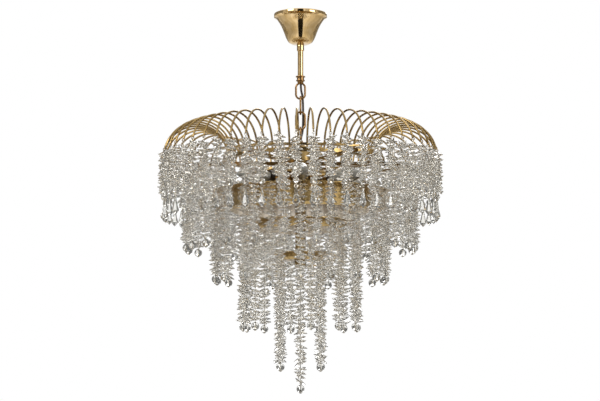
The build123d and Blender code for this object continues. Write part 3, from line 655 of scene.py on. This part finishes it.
drops = repeat(*dropShape(), spins(archAngles), ringPlaces(archAngles, eyeOut, dropTop - lugHigh))
makePiece("outerDrops", drops, cut, "light", ["outer_drops"], flat=True)
post = postShape([(pin["radius"], loopTop - 2 * pin["loop"]), (pin["radius"], dropLoop + pin["dropLoop"])])
smallLoop = ringShape(pin["loop"], pin["loopWire"], pin["loopRows"], pin["loopCols"])
wideLoop = ringShape(pin["dropLoop"], pin["loopWire"], pin["loopRows"], pin["loopCols"])
quarter = spins(np.array([np.pi / 2]))[0]
outerPin = joined(post, (smallLoop[0] @ quarter.T + (0, 0, loopTop - pin["loop"]), smallLoop[1]),
                  (wideLoop[0] @ quarter.T + (0, 0, dropLoop), wideLoop[1]))
pins = repeat(*outerPin, spins(archAngles), ringPlaces(archAngles, eyeOut, 0.0))
makePiece("outerPins", pins, nickel, "light", ["outer_strands"], weld=True)
print("strands made")


# Stage and light, in metres
stage = {"floorLevel": -3.0, "floorSize": 120.0, "floorTone": "#F4F3F0", "floorGlow": 0.14, "worldSeen": 1.0,
         "worldLight": 0.9, "aim": (0, 0, -0.45), "bounces": 32, "glossyBounces": 8}
lamps = (
    {"name": "keyBox", "place": (-2.6, -2.6, 1.6), "size": (1.6, 1.2), "power": 60},
    {"name": "fillBox", "place": (2.8, -2.2, 0.6), "size": (1.4, 1.4), "power": 30},
    {"name": "backBox", "place": (0.6, 3.2, 1.6), "size": (2.4, 1.2), "power": 40},
)
for lamp in lamps:
    data = bpy.data.lights.new(lamp["name"], "AREA")
    data.shape = "RECTANGLE"
    data.size, data.size_y = lamp["size"]
    data.energy = lamp["power"]
    source = bpy.data.objects.new(lamp["name"], data)
    source.location = lamp["place"]
    aim = np.array(stage["aim"]) - np.array(lamp["place"])
    flatRun = math.hypot(aim[0], aim[1])
    source.rotation_euler = (math.atan2(flatRun, -aim[2]), 0, math.atan2(aim[1], aim[0]) - math.pi / 2)
    bpy.context.collection.objects.link(source)


def stagePlane(name, corners, material):  # each four corners are one plane
    mesh = bpy.data.meshes.new(name)
    mesh.from_pydata(corners, [], [tuple(range(k, k + 4)) for k in range(0, len(corners), 4)])
    mesh.materials.append(material)
    made = bpy.data.objects.new(name, mesh)
    bpy.context.collection.objects.link(made)
    return made


def levelCorners(half, level):
    return [(-half, -half, level), (half, -half, level), (half, half, level), (-half, half, level)]


def uprightCorners(half, y, low, high):
    return [(-half, y, low), (half, y, low), (half, y, high), (-half, y, high)]


def seenRays(tree):  # 1 for what the camera sees straight, in metal or through glass
    rays = addNode(tree, "ShaderNodeLightPath").outputs
    seen = rays["Is Camera Ray"]
    for other in ("Is Glossy Ray", "Is Transmission Ray"):
        seen = addNode(tree, "ShaderNodeMath", {"operation": "MAXIMUM"}, {0: seen, 1: rays[other]}).outputs[0]
    return seen


# Pale paper, lifted to white where it is seen; the shadow on it stays
paper, tree = newMaterial("palePaperFloor")
glow = addNode(tree, "ShaderNodeMapRange", {"To Min": 0.0, "To Max": stage["floorGlow"]}, {"Value": seenRays(tree)})
matt = addNode(tree, "ShaderNodeBsdfPrincipled", {"Base Color": toLinear(stage["floorTone"]), "Roughness": 0.9,
               "Emission Color": (1, 1, 1, 1)}, {"Emission Strength": glow.outputs["Result"]})
addNode(tree, "ShaderNodeOutputMaterial", links={"Surface": matt.outputs["BSDF"]})
stagePlane("floor", levelCorners(stage["floorSize"] / 2, stage["floorLevel"]), paper)


# Felt cards give metal and glass something to show besides white. Side mats have near edge, far edge and tone; the
# dark mat has half width and place of its near and far edges
cardRing = {"radius": 6.0, "width": 3.3, "high": 3.2, "turns": (5, 35, 63, 117, 145, 175)}
metalCards = {"low": -1.2, "sideTone": "#94918A", "paleTurns": (-54, -24, 204, 234), "paleTone": "#D6D3CC",
              "matLevel": -2.98, "matReach": 9.0,
              "mats": ((2.6, 4.2, "#ECE9E2"), (4.2, 6.2, "#DAD7D0"), (6.2, 16.0, "#C8C5BE"))}
glassCards = {"low": -2.9, "tone": "#676766", "roofHalf": 6.0, "roofLevel": 3.3, "backHalf": 1.3, "backLow": 0.7,
              "underHalf": 3.0, "underLevel": -2.99, "underTone": "#838382"}
darkCards = {"half": 1.2, "place": -5.2, "low": -2.98, "mat": ((0.62, -1.9), (2.0, -6.6)), "tone": "#16140F"}


def feltCards(name, tone, corners, metal=True, glass=True):  # cards that the camera and the lamps pass by
    felt, tree = newMaterial(f"{name}Felt")
    matt = addNode(tree, "ShaderNodeBsdfPrincipled", {"Base Color": toLinear(tone), "Roughness": 1.0})
    addNode(tree, "ShaderNodeOutputMaterial", links={"Surface": matt.outputs["BSDF"]})
    made = stagePlane(name, corners, felt)
    made.visible_camera = False
    made.visible_diffuse = False
    made.visible_shadow = False
    made.visible_glossy = metal
    made.visible_transmission = glass


def standingCards(turns, low):  # upright cards in a circle round the light
    around = np.radians(turns)
    out = np.stack([np.cos(around), np.sin(around), 0 * around], 1)
    across = np.stack([-np.sin(around), np.cos(around), 0 * around], 1)
    ends = ((-1, low), (1, low), (1, cardRing["high"]), (-1, cardRing["high"]))
    corner = [out * cardRing["radius"] + across * s * cardRing["width"] / 2 + (0, 0, h) for s, h in ends]
    return np.stack(corner, 1).reshape(-1, 3).tolist()


feltCards("sideCards", metalCards["sideTone"], standingCards(cardRing["turns"], metalCards["low"]), glass=False)
feltCards("paleCards", metalCards["paleTone"], standingCards(metalCards["paleTurns"], metalCards["low"]), glass=False)
reach, level = metalCards["matReach"], metalCards["matLevel"]
for k, (near, far, tone) in enumerate(metalCards["mats"]):  # greyer floor to the left and right
    ends = ((near, -reach), (far, -reach), (far, reach), (near, reach))
    feltCards(f"sideMats{k}", tone, [(s * x, y, level) for s in (-1, 1) for x, y in ends], glass=False)
standing = standingCards(cardRing["turns"], glassCards["low"])
roof = levelCorners(glassCards["roofHalf"], glassCards["roofLevel"])[::-1]  # facing down
back = uprightCorners(glassCards["backHalf"], cardRing["radius"], glassCards["backLow"], glassCards["roofLevel"])
feltCards("glassCards", glassCards["tone"], standing + roof + back, metal=False)
under = levelCorners(glassCards["underHalf"], glassCards["underLevel"])
feltCards("underCard", glassCards["underTone"], under, metal=False)
(nearHalf, nearY), (farHalf, farY) = darkCards["mat"]
level = darkCards["low"]
front = uprightCorners(darkCards["half"], darkCards["place"], level, cardRing["high"])
front += [(-farHalf, farY, level), (farHalf, farY, level), (nearHalf, nearY, level), (-nearHalf, nearY, level)]
feltCards("darkCards", darkCards["tone"], front)


# An even white world, a little dimmer as a light than as it is seen
world = bpy.data.worlds.new("studio")
bpy.context.scene.world = world
world.use_nodes = True
tree = world.node_tree
tree.nodes.clear()
strength = addNode(tree, "ShaderNodeMapRange", {"To Min": stage["worldLight"], "To Max": stage["worldSeen"]},
                   {"Value": seenRays(tree)})
sky = addNode(tree, "ShaderNodeBackground", {"Color": (1, 1, 1, 1)}, {"Strength": strength.outputs["Result"]})
addNode(tree, "ShaderNodeOutputWorld", links={"Surface": sky.outputs["Background"]})

settings = bpy.context.scene
settings.view_settings.view_transform = "Standard"
settings.cycles.max_bounces = stage["bounces"]
settings.cycles.transmission_bounces = stage["bounces"]
settings.cycles.glossy_bounces = stage["glossyBounces"]
settings.cycles.caustics_refractive = False
settings.cycles.caustics_reflective = False
print("stage and light made")
